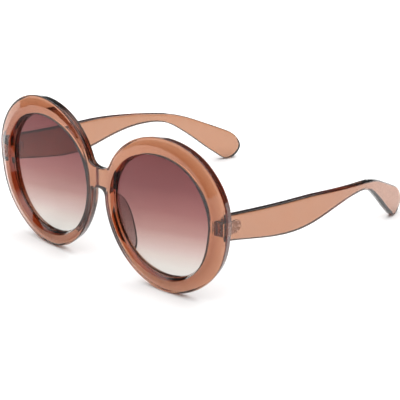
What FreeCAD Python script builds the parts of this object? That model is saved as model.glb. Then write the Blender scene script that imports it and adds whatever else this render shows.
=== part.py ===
import FreeCAD, Part
import math
import os

# Oversized round sunglasses standing open, in millimetres.
# +Z is up, the front faces -Y, the temples run towards +Y.
# The rim bottoms and the temple tips stand on Z = 0.
# The origin is the middle of the bounding box at its bottom.

os.makedirs("parts", exist_ok=True)
V = FreeCAD.Vector
AXIS_X = V(1, 0, 0)
AXIS_Y = V(0, 1, 0)
AXIS_Z = V(0, 0, 1)
NOWHERE = V(0, 0, 0)

# Front moulding: two rims and the bridge, bent to a wide ball
rim_radius = 35.8
rim_gap = 7.8
front_thickness = 4.5
wrap_radius = 458.0
front_draft = 12.0
front_edge_radius = 0.6
back_edge_radius = 0.5
land_radius = 660.0
land_lead = 0.15
bevel_angle = 23.0
bevel_inset = 1.1
bevel_root = 0.15
crease_radius = 0.8
bridge_height = 10.3
bridge_rise = 2.6
bridge_top_radius = 5.0
bridge_under_radius = 3.2
bridge_under_share = 0.42
bridge_hollow_radius = 8.5
bridge_hollow_depth = 0.7

# Openings and the lenses in their grooves
rim_wall = 5.9
opening_inset = 2.6
opening_drop = 0.95
opening_draft = 1.2
lens_thickness = 1.0
lens_setback = 3.2
lens_bite = 0.9
lens_clearance = 0.04

# Nose pads bonded behind the nasal sides of the rims
pad_length = 25.4
pad_depth = 5.7
pad_thickness = 2.0
pad_drop = 11.5
pad_edge_inset = 0.7
pad_splay = 35.0
pad_edge_radius = 0.55
pad_bond_gap = 0.02

# Temples
temple_thickness = 3.6
temple_reach = 142.7
temple_rise = 7.94
temple_straight = 55.0
temple_splay = 1.3
temple_bend_radius = 160.0
temple_bend_angle = 18.3
temple_edge_radius = 1.2

# Hinges: a front leaf, a temple leaf and a screw on each side
hinge_drop = 0.46
knuckle_radius = 1.6
knuckle_height = 2.0
knuckle_gap = 0.1
knuckle_side_clearance = 0.3
seat_cut = 0.5
seat_clearance = 0.1
front_anchor_width = 5.0
front_anchor_lead = 1.2
front_anchor_depth = 2.4
front_anchor_height = 6.2
tooth_depth = 0.5
tooth_height = 0.7
temple_anchor_length = 6.4
temple_anchor_height = 6.0
temple_anchor_thickness = 1.2
temple_anchor_setback = 0.7
temple_neck_width = 2.2
anchor_clearance = 0.03
screw_radius = 0.7
screw_head_radius = 1.3
screw_head_height = 0.8
screw_slot_width = 0.35
screw_slot_depth = 0.4
screw_running_clearance = 0.04
screw_thread_clearance = 0.015
screw_end_length = 0.3

# Outlines of a rim and its opening, as shares of the radius at every twelfth of a turn.
# The first share points to the temple, the fourth up, the seventh to the nose.
rim_radius_shares = (0.983, 1.010, 1.010, 0.999, 1.007, 1.008, 0.983, 0.974, 1.007, 1.033, 1.008, 0.994)
opening_radius_shares = (0.966, 0.993, 0.992, 0.955, 0.970, 0.992, 0.969, 0.964, 0.977, 0.997, 1.010, 0.981)

# Edge of a temple from its top front corner round the tip to its bottom front corner.
# Each pair is a share of the reach and a share of the top height.
temple_edge_shares = (
    (0.0, 1.0), (0.102, 0.957), (0.285, 0.893), (0.381, 0.865), (0.478, 0.823),
    (0.569, 0.776), (0.661, 0.723), (0.712, 0.687), (0.763, 0.635), (0.813, 0.565),
    (0.874, 0.468), (0.936, 0.368), (0.964, 0.314), (0.983, 0.257), (0.995, 0.196),
    (1.0, 0.144), (0.994, 0.083), (0.978, 0.029), (0.955, 0.0), (0.932, 0.018),
    (0.912, 0.064), (0.874, 0.160), (0.834, 0.270), (0.793, 0.382), (0.747, 0.497),
    (0.707, 0.577), (0.661, 0.621), (0.610, 0.636), (0.559, 0.634), (0.508, 0.618),
    (0.452, 0.590), (0.402, 0.563), (0.356, 0.545), (0.310, 0.540), (0.259, 0.551),
    (0.168, 0.600), (0.081, 0.664), (0.0, 0.721),
)

# Positions that follow from the sizes
back_radius = wrap_radius - front_thickness
rim_z = rim_radius * rim_radius_shares[9]
rim_middle = rim_gap / 2 + rim_radius * rim_radius_shares[6]
rim_turn = math.degrees(rim_middle / wrap_radius)
opening_radius = rim_radius - rim_wall
opening_turn = math.degrees((rim_middle - opening_inset) / land_radius)
draft_slope = math.tan(math.radians(front_draft))
rim_back_radius = rim_radius - front_thickness * draft_slope
edge_turn = (rim_middle + rim_back_radius * rim_radius_shares[0]) / wrap_radius
half_width = back_radius * math.sin(edge_turn)
rim_x = wrap_radius * math.sin(math.radians(rim_turn))
blank_depth = front_thickness * 6
blank_lead = front_thickness / 2
ball_centre = V(0, wrap_radius, rim_z)
land_centre = V(0, land_radius - land_lead, rim_z)


def wrap_y(radius, x, z):
    """Depth of the ball of this radius at a place on the front."""
    across = x * x + (z - rim_z) * (z - rim_z)
    return wrap_radius - math.sqrt(radius * radius - across)


def ball(radius):
    """Ball that gives the front and the pads their curve."""
    return Part.makeSphere(radius, ball_centre)


def land_ball(inward):
    """Flatter ball that gives the rims' lands and the lenses their curve."""
    return Part.makeSphere(land_radius - inward, land_centre)


def box(x0, x1, y0, y1, z0, z1):
    """Box between two values on each axis."""
    return Part.makeBox(x1 - x0, y1 - y0, z1 - z0, V(x0, y0, z0))


def round_bar(radius, height, x, y, z):
    """Upright round bar standing on z."""
    return Part.makeCylinder(radius, height, V(x, y, z), AXIS_Z)


def rounded(shape, radius, edges):
    """Shape with the chosen edges rounded."""
    return shape.makeFillet(radius, edges)


def mirrored(shape):
    """The same piece on the other side of the middle plane."""
    return shape.mirror(NOWHERE, AXIS_X)


def swung(shape, centre, turn):
    """Shape drawn in the middle of the front, swung round a ball to its own place."""
    shape.rotate(centre, AXIS_Z, turn)
    return shape


def outline(radius, shares, y, z):
    """Closed smooth outline through one point for each share."""
    points = []
    for number, share in enumerate(shares):
        angle = 2 * math.pi * number / len(shares)
        points.append(V(radius * share * math.cos(angle), y, z + radius * share * math.sin(angle)))
    curve = Part.BSplineCurve()
    curve.interpolate(Points=points, PeriodicFlag=True)
    return Part.Wire(curve.toShape())


# Front moulding
def rim_blank():
    """Block of one rim, narrower towards the back, deep enough to be trimmed by the balls."""
    edge_y = wrap_y(wrap_radius, rim_radius, rim_z)
    spread = blank_lead * draft_slope
    wide = outline(rim_radius + spread, rim_radius_shares, edge_y - blank_lead, rim_z)
    back_y = edge_y + front_thickness + blank_lead
    narrow = outline(rim_back_radius - spread, rim_radius_shares, back_y, rim_z)
    return swung(Part.makeLoft([wide, narrow], True), ball_centre, rim_turn)


bridge_low = rim_z + bridge_rise
bridge_high = bridge_low + bridge_height


def bridge_bar():
    """Bar across the middle, narrower towards the back like the rims."""
    corners = []
    for y, ends in ((-blank_lead / 2, (bridge_low, bridge_high)),
                    (front_thickness + blank_lead / 2, (bridge_high, bridge_low))):
        for z in ends:
            inward = 1 if z == bridge_low else -1
            corners.append(V(-rim_x / 2, y, z + inward * y * draft_slope))
    section = Part.Face(Part.makePolygon(corners + corners[:1]))
    return section.extrude(AXIS_X * rim_x)


bridge = bridge_bar()
left_rim = rim_blank()
blank = left_rim.fuse(mirrored(left_rim)).fuse(bridge).removeSplitter()


def bridge_corners(shape, z):
    """Edges that run front to back where the bridge meets the rims at this height."""
    found = []
    for edge in shape.Edges:
        a = edge.Vertexes[0].Point
        b = edge.Vertexes[-1].Point
        runs_back = abs(a.y - b.y) > front_thickness
        near_middle = abs(a.x) < rim_x / 2
        if runs_back and near_middle and abs(a.z - z) < bridge_height / 4:
            found.append(edge)
    return found


blank = rounded(blank, bridge_top_radius, bridge_corners(blank, bridge_high))
under_radius = min(bridge_under_radius, rim_gap * bridge_under_share)
blank = rounded(blank, under_radius, bridge_corners(blank, bridge_low))
front = blank.common(ball(wrap_radius)).cut(ball(back_radius))


def ball_edges(shape, centre, radius):
    """Edges that lie on the ball of this centre and radius."""
    found = []
    for edge in shape.Edges:
        middle = edge.valueAt((edge.FirstParameter + edge.LastParameter) / 2)
        places = (edge.Vertexes[0].Point, middle, edge.Vertexes[-1].Point)
        off = max(abs((place - centre).Length - radius) for place in places)
        if off < front_thickness / 20:
            found.append(edge)
    return found


front = rounded(front, front_edge_radius, ball_edges(front, ball_centre, wrap_radius))
front = rounded(front, back_edge_radius, ball_edges(front, ball_centre, back_radius))


def rim_land():
    """Raised land of one rim, which slopes down to its outline and dies out at the nose."""
    edge_y = wrap_y(wrap_radius, rim_radius, rim_z)
    run = 1 / math.tan(math.radians(bevel_angle))
    edge = rim_radius - bevel_inset
    wide = outline(edge + bevel_root * run, rim_radius_shares, edge_y + bevel_root, rim_z)
    narrow = outline(edge - front_thickness * run, rim_radius_shares, edge_y - front_thickness, rim_z)
    slope = swung(Part.makeLoft([wide, narrow], True), ball_centre, rim_turn)
    raised = slope.common(land_ball(0))
    return rounded(raised, crease_radius, ball_edges(raised, land_centre, land_radius))


left_land = rim_land()
front = front.fuse(left_land).fuse(mirrored(left_land))

# Hollow across the back of the bridge
hollow_y = front_thickness - bridge_hollow_depth + bridge_hollow_radius
front = front.cut(round_bar(bridge_hollow_radius, rim_z * 2, 0, hollow_y, rim_z))

# Flat seats behind the front where the temple ends close
temple_top_height = rim_z + temple_rise
temple_root_z = temple_top_height * temple_edge_shares[-1][1]
hinge_z = (temple_top_height + temple_root_z) / 2 - hinge_drop
temple_outer_x = half_width
temple_inner_x = temple_outer_x - temple_thickness
pivot_x = temple_inner_x - knuckle_side_clearance - knuckle_radius
seat_y = wrap_y(back_radius, temple_outer_x, hinge_z) - seat_cut
temple_end_y = seat_y + seat_clearance
seat_margin = temple_thickness / 2
pivot_y = seat_y + knuckle_radius + knuckle_side_clearance


def temple_seat(side):
    """Slab that is taken off the back of the front behind the temple end."""
    x0 = pivot_x - knuckle_radius
    x1 = half_width + seat_margin
    z0 = temple_root_z - seat_margin
    z1 = temple_top_height + seat_margin
    slab = box(x0, x1, seat_y, seat_y + front_thickness, z0, z1)
    return slab if side > 0 else mirrored(slab)


front = front.cut(temple_seat(1)).cut(temple_seat(-1))


# Lenses, and the openings and grooves that hold them
lens_wall_radius = opening_radius - opening_draft
lens_radius = lens_wall_radius + lens_bite
opening_z = rim_z - opening_drop


def lens_blank(extra):
    """Lens, or the groove for it when extra is more than nothing."""
    wire = outline(lens_radius + extra, opening_radius_shares, 0, opening_z)
    disc = Part.Face(wire).extrude(AXIS_Y * blank_depth)
    outer = land_ball(lens_setback - extra)
    inner = land_ball(lens_setback + lens_thickness + extra)
    return swung(disc.common(outer).cut(inner), land_centre, opening_turn)


def opening_tool():
    """Opening that narrows from the front face to the lens and goes on straight."""
    rim_depth = land_centre.y - math.sqrt(land_radius * land_radius - opening_radius * opening_radius)
    lead = front_thickness
    slope = opening_draft / lens_setback
    wide = outline(opening_radius + slope * lead, opening_radius_shares, rim_depth - lead, opening_z)
    narrow = outline(lens_wall_radius, opening_radius_shares, rim_depth + lens_setback, opening_z)
    funnel = Part.makeLoft([wide, narrow], True)
    wall = outline(lens_wall_radius, opening_radius_shares, 0, opening_z)
    straight = Part.Face(wall).extrude(AXIS_Y * blank_depth)
    return swung(funnel.fuse(straight), land_centre, opening_turn)


hole = opening_tool()
groove = lens_blank(lens_clearance)
for tool in (hole, mirrored(hole), groove, mirrored(groove)):
    front = front.cut(tool)

lens = lens_blank(0)


# Nose pads
def nose_pad():
    """Fin behind the nasal side of the rim, splayed outwards and ended by a half oval."""
    outer = rim_back_radius * rim_radius_shares[6] - pad_edge_inset
    inner = outer - pad_thickness
    splay = V(math.tan(math.radians(pad_splay)), 1, 0)
    centre = V(rim_x, front_thickness, rim_z)
    ring = Part.Face(Part.Wire(Part.makeCircle(outer, centre, AXIS_Y)))
    core = Part.Face(Part.Wire(Part.makeCircle(inner, centre, AXIS_Y)))
    fin = ring.cut(core).extrude(splay * (pad_depth * 2))
    limit_centre = V(0, front_thickness, rim_z - pad_drop)
    tall = pad_length / 2
    oval = Part.Ellipse(limit_centre + AXIS_Z * tall, limit_centre + AXIS_Y * pad_depth, limit_centre)
    limit = Part.Face(Part.Wire(oval.toShape())).extrude(AXIS_X * rim_x)
    pad = fin.common(limit).common(ball(back_radius - pad_bond_gap))
    return pad.Solids[0]


def pad_soft_edges(shape):
    """Edges of the pad that touch the face, away from the bonded side."""
    found = []
    for edge in shape.Edges:
        middle = edge.valueAt((edge.FirstParameter + edge.LastParameter) / 2)
        if middle.y > wrap_y(back_radius, middle.x, middle.z) + pad_edge_radius:
            found.append(edge)
    return found


pad = nose_pad()
pad = rounded(pad, pad_edge_radius, pad_soft_edges(pad))


# Hinges, drawn for the side at +X
def front_anchor(extra):
    """Block of the front leaf that is set into the back of the front."""
    x0 = pivot_x - front_anchor_lead
    x1 = x0 + front_anchor_width
    half = front_anchor_height / 2
    return box(x0 - extra, x1 + extra, seat_y - front_anchor_depth - extra, seat_y,
               hinge_z - half - extra, hinge_z + half + extra)


def anchor_teeth():
    """Notches that leave teeth along the free end of the front leaf's block."""
    x0 = pivot_x - front_anchor_lead
    count = int(front_anchor_height / (tooth_height * 2))
    pitch = front_anchor_height / count
    notches = []
    for number in range(count):
        z = hinge_z - front_anchor_height / 2 + pitch * number + (pitch - tooth_height) / 2
        notches.append(box(x0, x0 + tooth_depth, seat_y - front_anchor_depth, seat_y, z, z + tooth_height))
    return notches


def knuckle(z, hole_radius):
    """One turned knuckle of the hinge with its screw hole."""
    ring = round_bar(knuckle_radius, knuckle_height, pivot_x, pivot_y, z)
    return ring, round_bar(hole_radius, knuckle_height, pivot_x, pivot_y, z)


middle_z = hinge_z - knuckle_height / 2
upper_z = middle_z + knuckle_height + knuckle_gap
lower_z = middle_z - knuckle_height - knuckle_gap
leaf_front = front_anchor(0)
for notch in anchor_teeth():
    leaf_front = leaf_front.cut(notch)
for z in (upper_z, lower_z):
    ring, hole = knuckle(z, screw_radius + screw_thread_clearance)
    web = box(pivot_x - front_anchor_lead, pivot_x + front_anchor_lead, seat_y, pivot_y,
              z, z + knuckle_height)
    leaf_front = leaf_front.fuse(web).fuse(ring).cut(hole)
leaf_front = leaf_front.removeSplitter()

temple_middle_x = temple_outer_x - temple_thickness / 2


def temple_anchor(extra):
    """Round-ended plate of the temple leaf with the neck that leads to its knuckle."""
    y0 = temple_end_y + temple_anchor_setback
    half = temple_anchor_height / 2
    thick = temple_anchor_thickness / 2 + extra
    x0 = temple_middle_x - thick
    y1 = y0 + temple_anchor_length - half
    plate = box(x0, x0 + thick * 2, y0 - extra, y1, hinge_z - half - extra, hinge_z + half + extra)
    end = Part.makeCylinder(half + extra, thick * 2, V(x0, y1, hinge_z), AXIS_X)
    neck = box(pivot_x, temple_middle_x, pivot_y - temple_neck_width / 2 - extra,
               pivot_y + temple_neck_width / 2 + extra, middle_z - extra, middle_z + knuckle_height + extra)
    return plate.fuse(end).fuse(neck)


ring, hole = knuckle(middle_z, screw_radius + screw_running_clearance)
leaf_temple = temple_anchor(0).fuse(ring).cut(hole).removeSplitter()

screw_top = upper_z + knuckle_height
screw = round_bar(screw_radius, screw_top - lower_z + screw_end_length, pivot_x, pivot_y,
                  lower_z - screw_end_length)
head = round_bar(screw_head_radius, screw_head_height, pivot_x, pivot_y, screw_top)
slot = box(pivot_x - screw_head_radius, pivot_x + screw_head_radius, pivot_y - screw_slot_width / 2,
           pivot_y + screw_slot_width / 2, screw_top + screw_head_height - screw_slot_depth,
           screw_top + screw_head_height)
screw = screw.fuse(head).cut(slot).removeSplitter()

front_pocket = front_anchor(anchor_clearance)
front = front.cut(front_pocket).cut(mirrored(front_pocket))


# Temples
def temple_side():
    """Side outline of the temple, as a slab across the whole half width."""
    points = []
    for reach_share, height_share in temple_edge_shares:
        points.append(V(0, temple_end_y + temple_reach * reach_share, temple_top_height * height_share))
    curve = Part.BSplineCurve()
    curve.interpolate(points)
    end_line = Part.makeLine(points[-1], points[0])
    face = Part.Face(Part.Wire([curve.toShape(), end_line]))
    return face.extrude(AXIS_X * (half_width * 2))


def temple_plan():
    """Strip seen from above: straight and a little splayed, then bent inwards, then straight."""
    angle = math.radians(temple_bend_angle)
    bend_y = temple_end_y + temple_straight
    run = V(-math.sin(angle), math.cos(angle), 0) * temple_reach
    centre = V(temple_outer_x - temple_bend_radius, bend_y, 0)
    corners = []
    for radius in (temple_bend_radius, temple_bend_radius - temple_thickness):
        start = V(centre.x + radius, temple_end_y - temple_thickness, 0)
        bend = V(centre.x + radius, bend_y, 0)
        half = centre + V(math.cos(angle / 2), math.sin(angle / 2), 0) * radius
        leave = centre + V(math.cos(angle), math.sin(angle), 0) * radius
        corners.append((start, bend, half, leave, leave + run))
    (a0, a1, a2, a3, a4), (b0, b1, b2, b3, b4) = corners
    edges = [
        Part.makeLine(a0, a1), Part.Arc(a1, a2, a3).toShape(), Part.makeLine(a3, a4),
        Part.makeLine(a4, b4),
        Part.makeLine(b4, b3), Part.Arc(b3, b2, b1).toShape(), Part.makeLine(b1, b0),
        Part.makeLine(b0, a0),
    ]
    strip = Part.Face(Part.Wire(edges)).extrude(AXIS_Z * (rim_z * 4))
    strip.translate(AXIS_Z * (rim_z * -2))
    strip.rotate(V(temple_outer_x, temple_end_y, 0), AXIS_Z, -temple_splay)
    return strip


def long_edges(shape):
    """Edges that run along the temple, apart from those of its flat front end."""
    found = []
    for edge in shape.Edges:
        a = edge.Vertexes[0].Point
        b = edge.Vertexes[-1].Point
        middle = edge.valueAt((edge.FirstParameter + edge.LastParameter) / 2)
        short = edge.Length < temple_top_height / 2
        upright = short and math.hypot(a.x - b.x, a.y - b.y) < temple_edge_radius
        if middle.y > temple_end_y + temple_thickness and not upright:
            found.append(edge)
    return found


table_top = box(0, half_width * 2, -temple_reach, temple_reach * 2, 0, rim_z * 4)
temple = temple_side().common(temple_plan()).Solids[0]
temple = rounded(temple, temple_edge_radius, long_edges(temple)).common(table_top)
temple = temple.cut(temple_anchor(anchor_clearance))

# Pieces by name; left and right are the wearer's
pieces = {
    "front_frame": front,
    "lens_left": lens,
    "lens_right": mirrored(lens),
    "nose_pad_left": pad,
    "nose_pad_right": mirrored(pad),
    "hinge_front_leaf_left": leaf_front,
    "hinge_front_leaf_right": mirrored(leaf_front),
    "hinge_temple_leaf_left": leaf_temple,
    "hinge_temple_leaf_right": mirrored(leaf_temple),
    "hinge_screw_left": screw,
    "hinge_screw_right": mirrored(screw),
    "temple_left": temple,
    "temple_right": mirrored(temple),
}
overall_depth = temple_end_y + temple_reach
to_origin = V(0, (land_lead - overall_depth) / 2, 0)
for name, shape in pieces.items():
    solid = shape.Solids[0].copy()
    solid.translate(to_origin)
    solid.exportStep("parts/" + name + ".step")
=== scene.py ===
import bmesh
import bpy
import math
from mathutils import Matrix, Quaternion, Vector


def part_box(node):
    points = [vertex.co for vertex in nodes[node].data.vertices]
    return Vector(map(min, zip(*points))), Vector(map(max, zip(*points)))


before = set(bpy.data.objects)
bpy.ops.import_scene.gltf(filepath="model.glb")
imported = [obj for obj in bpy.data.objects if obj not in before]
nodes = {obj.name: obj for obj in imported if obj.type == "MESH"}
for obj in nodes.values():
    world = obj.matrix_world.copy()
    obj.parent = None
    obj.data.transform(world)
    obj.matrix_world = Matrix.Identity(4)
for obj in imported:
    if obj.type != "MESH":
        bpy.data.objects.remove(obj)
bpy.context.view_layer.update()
MM = 0.001


# Front moulding: both rims and the bridge, injection moulded in one shot from clear brown polycarbonate.
# The mould is polished, so the faces are glossy, and the thin walls let the table's white through.
# The lenses snap into its grooves, the pads are bonded behind it and the hinges are set into it.

# White light turns into the tint on its way through this depth of plastic, in millimetres
FRONT_TINT = "#A56B4D"
FRONT_DEPTH = 6.1

# Surface of the moulded plastic; ripples and polish marks are in millimetres, finishes are roughnesses
PLASTIC_INDEX = 1.52
POLISHED = (0.015, 0.05)
FRONT_RIPPLE = 9.0
FRONT_POLISH = 1.5
CLEAR = "#FFFFFF"
FLOW_HAZE = "#FFF9F4"
FLOW_DETAIL = 2.0
POLISH_DETAIL = 3.0
RIPPLE_STRENGTH = 0.05
RIPPLE_HEIGHT = 0.02
NOISE_LOW = 0.3
NOISE_HIGH = 0.7

# Darker tints and painted shade, and their places in millimetres; depths go back from the ball that shapes
# the rims' faces.
# The bridge is a little darker than the rims; the walls of the openings get a reddish painted shade, and
# the lens grooves a near-black painted shade where light is lost in them.
LAND_RADIUS = 660.0
LAND_CENTRE = Vector((0.0, 583.62, 36.98))
# Reddish painted shade on the walls of the openings
WALL_PAINTED_SHADE = "#B45F3C"
WALL_DEPTHS = (0.2, 0.5)
WALL_REACH = 31.5
# Near-black painted shade: a dark line in the lens grooves
GROOVE_PAINTED_SHADE = "#0C0503"
GROOVE_DEPTHS = (2.85, 3.1)
GROOVE_BACK = 4.3
BRIDGE_TINT = "#F0E4DC"
BRIDGE_PLACE = Vector((0.0, 0.0, 44.7))
BRIDGE_DISTANCES = (14.0, 6.0)

# Numbers of the colour sockets on a mixing node
MIX_FIRST = 6
MIX_SECOND = 7
MIX_RESULT = 2


def linear(hex_colour):
    """Turns an sRGB hex colour into the linear red, green, blue and full cover that the shaders use."""
    values = []
    for place in (1, 3, 5):
        share = int(hex_colour[place:place + 2], 16) / 255
        values.append(share / 12.92 if share <= 0.04045 else ((share + 0.055) / 1.055) ** 2.4)
    return values + [1.0]


def add_node(tree, kind, settings):
    """Adds a node. Each setting is a property, or an input by name or number; sockets are linked to it."""
    node = tree.nodes.new(kind)
    for name, value in settings.items():
        if isinstance(name, str) and name not in node.inputs:
            setattr(node, name, value)
        elif isinstance(value, bpy.types.NodeSocket):
            tree.links.new(value, node.inputs[name])
        else:
            node.inputs[name].default_value = value
    return node


def grained(place, grain_mm, detail):
    """Settings of an even noise whose grain has this size on the real object."""
    return {"Vector": place, "Scale": 1 / (grain_mm * MM), "Detail": detail}


def spread(noise, low, high):
    """Settings that spread the middle part of a noise over a range of values."""
    return {"Value": noise, "From Min": NOISE_LOW, "From Max": NOISE_HIGH, "To Min": low, "To Max": high}


def new_material(name):
    """Empty material with its node tree."""
    material = bpy.data.materials.new(name)
    material.use_nodes = True
    material.node_tree.nodes.clear()
    return material, material.node_tree


def absorbing(tint, depth_mm):
    """Settings of an absorber that turns white into the tint over this depth."""
    loss = [-math.log(value) / (depth_mm * MM) for value in linear(tint)[:3]]
    density = max(loss)
    return {"Color": [1 - value / density for value in loss] + [1.0], "Density": density}


def local_tints_and_painted_shade(tree, place, colour):
    """Darkens the colour at the bridge, and paints shade on the walls of the openings and in the lens
    grooves.
    """
    lens_low, lens_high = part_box("lens_left")
    middle = (lens_low + lens_high) / 2
    folded = add_node(tree, "ShaderNodeVectorMath", {"operation": "ABSOLUTE", 0: place}).outputs["Vector"]
    flat = add_node(tree, "ShaderNodeVectorMath",
                    {"operation": "MULTIPLY", 0: folded, 1: (1.0, 0.0, 1.0)}).outputs["Vector"]
    from_bridge = add_node(tree, "ShaderNodeVectorMath",
                           {"operation": "DISTANCE", 0: flat, 1: BRIDGE_PLACE * MM}).outputs["Value"]
    lens_middle = (middle.x, 0.0, middle.z)
    from_middle = add_node(tree, "ShaderNodeVectorMath",
                           {"operation": "DISTANCE", 0: flat, 1: lens_middle}).outputs["Value"]
    from_centre = add_node(tree, "ShaderNodeVectorMath",
                           {"operation": "DISTANCE", 0: place, 1: LAND_CENTRE * MM}).outputs["Value"]
    depth = add_node(tree, "ShaderNodeMath",
                     {"operation": "SUBTRACT", 0: LAND_RADIUS * MM, 1: from_centre}).outputs["Value"]
    inside = add_node(tree, "ShaderNodeMath",
                      {"operation": "LESS_THAN", 0: from_middle, 1: WALL_REACH * MM}).outputs["Value"]
    before_back = add_node(tree, "ShaderNodeMath",
                           {"operation": "LESS_THAN", 0: depth, 1: GROOVE_BACK * MM}).outputs["Value"]
    opening = add_node(tree, "ShaderNodeMath",
                       {"operation": "MULTIPLY", 0: inside, 1: before_back}).outputs["Value"]
    # The bridge's darker tint, then painted shade on the opening walls and in the lens grooves
    layers = (
        (BRIDGE_TINT, from_bridge, BRIDGE_DISTANCES, 1.0),
        (WALL_PAINTED_SHADE, depth, WALL_DEPTHS, opening),
        (GROOVE_PAINTED_SHADE, depth, GROOVE_DEPTHS, opening),
    )
    for tint, measure, (start_mm, end_mm), within in layers:
        rise = add_node(tree, "ShaderNodeMapRange",
                        {"Value": measure, "From Min": start_mm * MM, "From Max": end_mm * MM})
        cover = add_node(tree, "ShaderNodeMath",
                         {"operation": "MULTIPLY", 0: rise.outputs["Result"], 1: within})
        mix = add_node(tree, "ShaderNodeMix",
                       {"data_type": "RGBA", "Factor": cover.outputs["Value"],
                        MIX_FIRST: colour, MIX_SECOND: linear(tint)})
        colour = mix.outputs[MIX_RESULT]
    return colour


def moulded_plastic(name, tint, depth_mm, ripple_mm, polish_mm, finish=POLISHED, painted_shade_and_tints=False):
    """Clear tinted polycarbonate: faintly rippled by the mould, with fine polish marks in its finish."""
    material, tree = new_material(name)
    place = add_node(tree, "ShaderNodeTexCoord", {}).outputs["Object"]
    flow = add_node(tree, "ShaderNodeTexNoise", grained(place, ripple_mm, FLOW_DETAIL)).outputs["Fac"]
    polish = add_node(tree, "ShaderNodeTexNoise", grained(place, polish_mm, POLISH_DETAIL)).outputs["Fac"]
    gloss = add_node(tree, "ShaderNodeMapRange", spread(polish, *finish)).outputs["Result"]
    streak = add_node(tree, "ShaderNodeMapRange", spread(flow, 0.0, 1.0)).outputs["Result"]
    haze = add_node(tree, "ShaderNodeMix",
                    {"data_type": "RGBA", "Factor": streak,
                     MIX_FIRST: linear(FLOW_HAZE), MIX_SECOND: linear(CLEAR)})
    colour = haze.outputs[MIX_RESULT]
    # Where asked: the darker bridge, and painted shade on the opening walls and in the lens grooves
    if painted_shade_and_tints:
        colour = local_tints_and_painted_shade(tree, place, colour)
    ripple = add_node(tree, "ShaderNodeBump",
                      {"Strength": RIPPLE_STRENGTH, "Distance": RIPPLE_HEIGHT * MM, "Height": flow})
    shader = add_node(tree, "ShaderNodeBsdfPrincipled",
                      {"IOR": PLASTIC_INDEX, "Transmission Weight": 1.0, "Base Color": colour,
                       "Roughness": gloss, "Normal": ripple.outputs["Normal"]})
    body = add_node(tree, "ShaderNodeVolumeAbsorption", absorbing(tint, depth_mm))
    add_node(tree, "ShaderNodeOutputMaterial",
             {"Surface": shader.outputs["BSDF"], "Volume": body.outputs["Volume"]})
    return material


def dress(name, material):
    """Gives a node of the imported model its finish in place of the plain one."""
    node = nodes[name]
    node.data.materials.clear()
    node.data.materials.append(material)


# The front carries the darker bridge, and painted shade in its openings and lens grooves
front_plastic = moulded_plastic("brown_polycarbonate_front", FRONT_TINT, FRONT_DEPTH, FRONT_RIPPLE,
                                FRONT_POLISH, painted_shade_and_tints=True)
dress("front_frame", front_plastic)


# Lenses: cast sheet plastic 1 mm thick, curved with the rims and dip tinted from the top edge down.
# The dye is plum brown, fades to a pale smoke at the bottom and leans a little from hand dipping. A thin
# coat against glare takes most of the shine off both faces. They sit in the rims' grooves.

# Colours of the dye at shares of the lens height, and how it drifts and sways in millimetres
LENS_DYE = ((0.0, "#E5E7E2"), (0.1, "#DCD8D2"), (0.25, "#C2ABA5"), (0.4, "#A17973"), (0.55, "#8A5A58"),
            (0.75, "#734142"), (1.0, "#673233"))
DYE_DRIFT = 14.0
DYE_DETAIL = 1.0
DYE_SWAY = 1.2
DYE_LEAN = 0.14
COATED_INDEX = 1.3
LENS_GLOSS = (0.005, 0.02)


def tinted_lens(name, low, high):
    """Clear sheet with a dye that fades from the top of the lens to its bottom."""
    material, tree = new_material(name)
    place = add_node(tree, "ShaderNodeTexCoord", {}).outputs["Object"]
    split = add_node(tree, "ShaderNodeSeparateXYZ", {"Vector": place})
    drift = add_node(tree, "ShaderNodeTexNoise", grained(place, DYE_DRIFT, DYE_DETAIL)).outputs["Fac"]
    sway = add_node(tree, "ShaderNodeMath",
                    {"operation": "MULTIPLY_ADD", 0: drift, 1: DYE_SWAY * MM, 2: split.outputs["Z"]})
    lean = add_node(tree, "ShaderNodeMath",
                    {"operation": "MULTIPLY_ADD", 0: split.outputs["X"], 1: -DYE_LEAN,
                     2: sway.outputs["Value"]})
    shift = DYE_LEAN * (low.x + high.x) / 2
    height = add_node(tree, "ShaderNodeMapRange",
                      {"Value": lean.outputs["Value"],
                       "From Min": low.z - shift, "From Max": high.z - shift})
    dye = add_node(tree, "ShaderNodeValToRGB", {"Fac": height.outputs["Result"]})
    stops = dye.color_ramp.elements
    for number, (share, colour) in enumerate(LENS_DYE):
        stop = stops[number] if number < len(stops) else stops.new(share)
        stop.position = share
        stop.color = linear(colour)
    gloss = add_node(tree, "ShaderNodeMapRange", spread(drift, *LENS_GLOSS))
    shader = add_node(tree, "ShaderNodeBsdfPrincipled",
                      {"IOR": COATED_INDEX, "Transmission Weight": 1.0, "Base Color": dye.outputs["Color"],
                       "Roughness": gloss.outputs["Result"]})
    add_node(tree, "ShaderNodeOutputMaterial", {"Surface": shader.outputs["BSDF"]})
    return material


for name in ("lens_left", "lens_right"):
    dress(name, tinted_lens("dip_tinted_sheet_" + name, *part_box(name)))


# Nose pads: small fins of the same brown plastic, moulded apart and bonded behind the rims.
# Their edges are rounded for the skin and their faces are satin, since they are not polished by hand.
# Tint of the pads: the brown plastic, darkened and greyed with painted shade
PAD_TINT_AND_SHADE = "#5F4A4B"
PAD_DEPTH = 4.6
PAD_RIPPLE = 6.0
PAD_POLISH = 4.0
SATIN = (0.1, 0.16)

pad_plastic = moulded_plastic("brown_polycarbonate_pad", PAD_TINT_AND_SHADE, PAD_DEPTH, PAD_RIPPLE, PAD_POLISH,
                              finish=SATIN)
for name in ("nose_pad_left", "nose_pad_right"):
    dress(name, pad_plastic)


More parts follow.
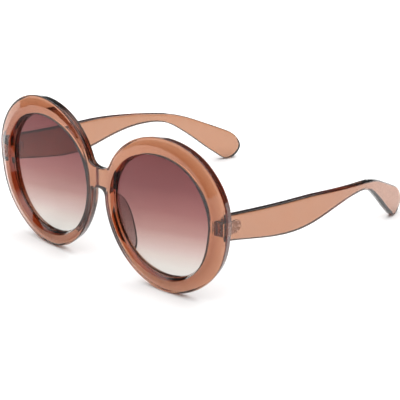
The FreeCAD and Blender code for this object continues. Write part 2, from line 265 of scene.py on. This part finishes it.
# Hinges: stamped leaves and turned screws of plated steel; the leaves are set into the warm plastic.
# The plating is a warm satin with fine marks from the stamping and the turning. The leaves also carry pale
# specks of plastic, coarser here than in life so that they show.
LEAF_STEEL = "#C8A28C"
LEAF_GRAIN = 0.25
SCREW_STEEL = "#CFCAC4"
SCREW_GRAIN = 0.15
STEEL_GLOSS = (0.4, 0.6)
MARK_DETAIL = 4.0
MARK_STRETCH = 0.1
MARK_SHADE = 0.7
SPECK_TINT = "#FFF1E6"
SPECK_SIZE = 0.7
SPECK_COVER = (-1.6, 1.2)


def plated_steel(name, colour, grain_mm, specks=False):
    """Satin plated steel with fine marks along the height of the hinge, and pale specks where asked for."""
    material, tree = new_material(name)
    place = add_node(tree, "ShaderNodeTexCoord", {}).outputs["Object"]
    stretch = add_node(tree, "ShaderNodeMapping", {"Vector": place, "Scale": (1.0, 1.0, MARK_STRETCH)})
    marks = add_node(tree, "ShaderNodeTexNoise",
                     grained(stretch.outputs["Vector"], grain_mm, MARK_DETAIL)).outputs["Fac"]
    tone = add_node(tree, "ShaderNodeValToRGB", {"Fac": marks})
    dark, bright = tone.color_ramp.elements
    dark.color = [value * MARK_SHADE for value in linear(colour)[:3]] + [1.0]
    bright.color = linear(colour)
    shade = tone.outputs["Color"]
    if specks:
        spots = add_node(tree, "ShaderNodeTexNoise", grained(place, SPECK_SIZE, 0.0)).outputs["Fac"]
        cover = add_node(tree, "ShaderNodeMapRange", spread(spots, *SPECK_COVER)).outputs["Result"]
        mix = add_node(tree, "ShaderNodeMix",
                       {"data_type": "RGBA", "Factor": cover,
                        MIX_FIRST: shade, MIX_SECOND: linear(SPECK_TINT)})
        shade = mix.outputs[MIX_RESULT]
    gloss = add_node(tree, "ShaderNodeMapRange", spread(marks, *STEEL_GLOSS)).outputs["Result"]
    shader = add_node(tree, "ShaderNodeBsdfPrincipled",
                      {"Metallic": 1.0, "Base Color": shade, "Roughness": gloss})
    add_node(tree, "ShaderNodeOutputMaterial", {"Surface": shader.outputs["BSDF"]})
    return material


leaf_steel = plated_steel("satin_plated_steel_leaf", LEAF_STEEL, LEAF_GRAIN, specks=True)
screw_steel = plated_steel("turned_steel_screw", SCREW_STEEL, SCREW_GRAIN)
for side in ("left", "right"):
    dress("hinge_front_leaf_" + side, leaf_steel)
    dress("hinge_temple_leaf_" + side, leaf_steel)
    dress("hinge_screw_" + side, screw_steel)


# Temples: flat arms of the same brown plastic, moulded, bent inwards and polished on every rounded edge.
# Each holds its hinge leaf in a pocket at the front and turns down behind the ear.
TEMPLE_TINT = "#AB7A5E"
TEMPLE_DEPTH = 4.2
TEMPLE_RIPPLE = 12.0
TEMPLE_POLISH = 1.8

temple_plastic = moulded_plastic("brown_polycarbonate_temple", TEMPLE_TINT, TEMPLE_DEPTH, TEMPLE_RIPPLE,
                                 TEMPLE_POLISH)
for name in ("temple_left", "temple_right"):
    dress(name, temple_plastic)


# Table and light: a matt white table in a dark studio, under one wide soft light overhead.
# The light starts at its foot and is full further up; both are heights on a sky that is one unit high.
TABLE_WHITE = "#F4F4F4"
TABLE_SIDE = 6.0
STUDIO_DARK = 0.05
LIGHT_FOOT = 0.45
LIGHT_FULL = 0.75
LIGHT_STRENGTH = 2.5

table_mesh = bpy.data.meshes.new("table")
table_build = bmesh.new()
bmesh.ops.create_grid(table_build, x_segments=1, y_segments=1, size=TABLE_SIDE / 2)
table_build.to_mesh(table_mesh)
table_build.free()
table = bpy.data.objects.new("table", table_mesh)
bpy.context.scene.collection.objects.link(table)
table_paint, tree = new_material("matt_white_table")
matt = add_node(tree, "ShaderNodeBsdfDiffuse", {"Color": linear(TABLE_WHITE)})
add_node(tree, "ShaderNodeOutputMaterial", {"Surface": matt.outputs["BSDF"]})
table_mesh.materials.append(table_paint)

world = bpy.data.worlds.new("studio")
world.use_nodes = True
bpy.context.scene.world = world
tree = world.node_tree
tree.nodes.clear()
way = add_node(tree, "ShaderNodeTexCoord", {})
split = add_node(tree, "ShaderNodeSeparateXYZ", {"Vector": way.outputs["Generated"]})
rise = add_node(tree, "ShaderNodeMapRange",
                {"Value": split.outputs["Z"], "From Min": LIGHT_FOOT, "From Max": LIGHT_FULL,
                 "To Min": STUDIO_DARK, "To Max": 1.0})
sky = add_node(tree, "ShaderNodeBackground", {"Strength": LIGHT_STRENGTH, "Color": rise.outputs["Result"]})
add_node(tree, "ShaderNodeOutputWorld", {"Surface": sky.outputs["Background"]})
bpy.context.scene.view_settings.view_transform = "Standard"


# Camera at the photograph's place: a long lens from the front, turned to the wearer's left, a little above.
# Angles are in degrees, the distance and the target in metres, the lens and its sensor in millimetres.
VIEW_AZIMUTH = 43.595
VIEW_ELEVATION = 22.223
VIEW_ROLL = 0.343
VIEW_DISTANCE = 0.8873
VIEW_TARGET = Vector((0.00063, -0.01019, 0.01499))
VIEW_LENS = 166.5
SENSOR_WIDTH = 36.0
NEAREST = 0.05

azimuth = math.radians(VIEW_AZIMUTH)
elevation = math.radians(VIEW_ELEVATION)
back = Vector((math.sin(azimuth) * math.cos(elevation),
               -math.cos(azimuth) * math.cos(elevation),
               math.sin(elevation)))
camera_data = bpy.data.cameras.new("camera")
camera_data.sensor_width = SENSOR_WIDTH
camera_data.lens = VIEW_LENS
camera_data.clip_start = NEAREST
camera = bpy.data.objects.new("camera", camera_data)
bpy.context.scene.collection.objects.link(camera)
camera.location = VIEW_TARGET + back * VIEW_DISTANCE
camera.rotation_mode = "QUATERNION"
roll = Quaternion((0, 0, 1), math.radians(VIEW_ROLL))
camera.rotation_quaternion = (-back).to_track_quat("-Z", "Y") @ roll
bpy.context.scene.camera = camera
